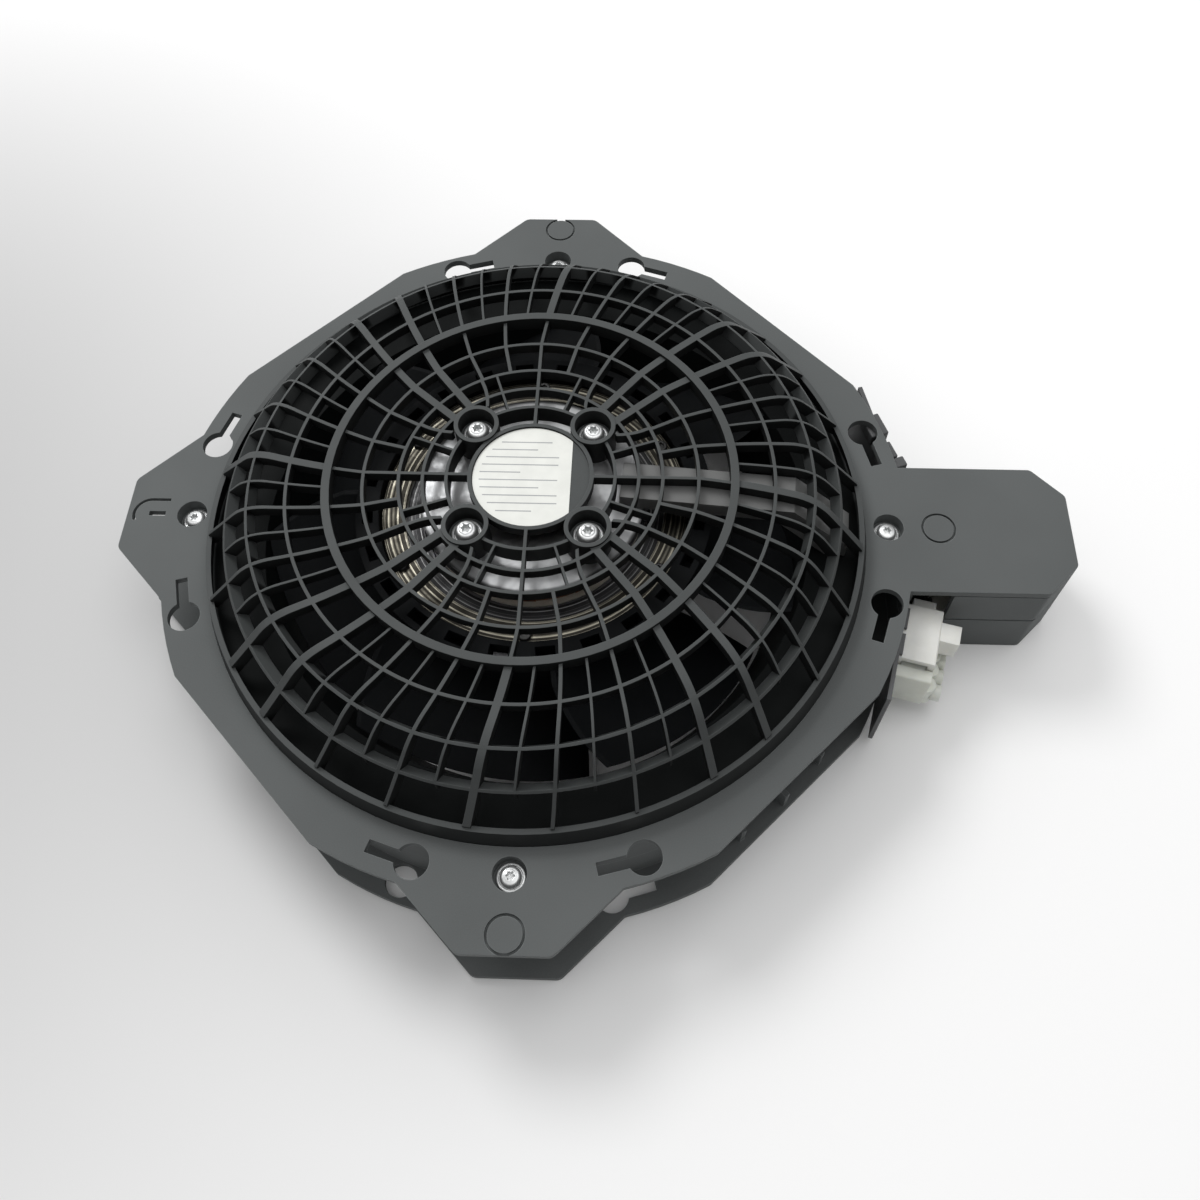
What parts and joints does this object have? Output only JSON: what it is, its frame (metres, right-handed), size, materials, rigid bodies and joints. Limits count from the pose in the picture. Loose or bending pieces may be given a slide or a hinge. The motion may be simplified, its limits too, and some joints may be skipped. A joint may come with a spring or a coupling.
{
  "type": "axial fan module",
  "caption": "Compact panel-mounted fan module: split plastic housing with keyhole flanges, external-rotor motor, bladed impeller, domed outlet guard, terminal box and plug connector.",
  "frame": {"origin": "on the fan's axis, in the underside of the lower flange, which is the plane the module rests or is screwed on", "axes": "+Z along the fan's axis towards the outlet guard, +X from the axis towards the terminal box, +Y completes the right-handed frame; the plug leaves towards -Y"},
  "size_m": [0.3651, 0.321, 0.0785],
  "materials": {
    "housing_plastic": "fine matte glass-filled polymer, dark grey",
    "guard_plastic": "matte black-grey polymer",
    "impeller_plastic": "satin black polymer",
    "holder_plastic": "dark grey polymer",
    "duct_plastic": "light grey polymer",
    "socket_nylon": "natural white nylon",
    "plug_nylon": "translucent natural nylon",
    "label": "satin white film",
    "zinc": "bright zinc plate",
    "cast_metal": "machined die-cast aluminium",
    "rotor_steel": "yellow-passivated pressed steel",
    "core_steel": "laminated electrical steel",
    "bearing_steel": "ground bearing steel",
    "cage_metal": "cast aluminium",
    "spring_steel": "blackened spring steel",
    "copper": "varnished copper wire",
    "contact_metal": "tinned brass",
    "liner_polymer": "ivory insulating polymer",
    "lead_pvc": "black lead insulation",
    "capacitor_case": "white capacitor can",
    "block_polymer": "natural polyamide terminal block"
  },
  "bodies": {
    "housing": {"upper_housing": "housing_plastic", "lower_housing": "housing_plastic", "outlet_guard": "guard_plastic", "rating_label": "label", "joint_screws": "zinc", "joint_washers": "zinc", "motor_screws": "zinc", "motor_washers": "zinc", "motor_flange": "cast_metal", "stator_core": "core_steel", "slot_liners": "liner_polymer", "windings": "copper", "preload_spring": "spring_steel", "bearing_outer_rings": "bearing_steel", "cable_duct": "duct_plastic", "duct_lid": "duct_plastic", "motor_leads": "lead_pvc", "supply_leads": "lead_pvc", "run_capacitor": "capacitor_case", "terminal_block": "block_polymer", "connector_socket": "socket_nylon", "contact_pins": "contact_metal", "connector_holder": "holder_plastic", "spare_holder": "holder_plastic"},
    "rotor": {"shaft": "bearing_steel", "retaining_ring": "spring_steel", "rotor_can": "rotor_steel", "rotor_core": "core_steel", "rotor_cage": "cage_metal", "impeller": "impeller_plastic", "impeller_screws": "zinc", "balance_clips": "spring_steel", "bearing_inner_rings": "bearing_steel"},
    "bearing_cage_set": {"bearing_cages": "liner_polymer", "bearing_balls": "bearing_steel"},
    "plug": {"connector_plug": "plug_nylon", "clamp_screws": "zinc"}
  },
  "joints": [
    {"name": "rotor_spin", "type": "hinge", "parent": "housing", "child": "rotor", "pos_m": [0, 0, 0.0395], "axis": [0, 0, 1], "continuous": true},
    {"name": "cage_spin", "type": "hinge", "parent": "housing", "child": "bearing_cage_set", "pos_m": [0, 0, 0.0395], "axis": [0, 0, 1], "continuous": true},
    {"name": "plug_pull", "type": "slide", "parent": "housing", "child": "plug", "axis": [-0.2419, -0.9703, 0], "range_m": [0, 0.015]}
  ],
  "couplings": [
    {"joint": "cage_spin", "follows": "rotor_spin", "ratio": 0.37}
  ]
}
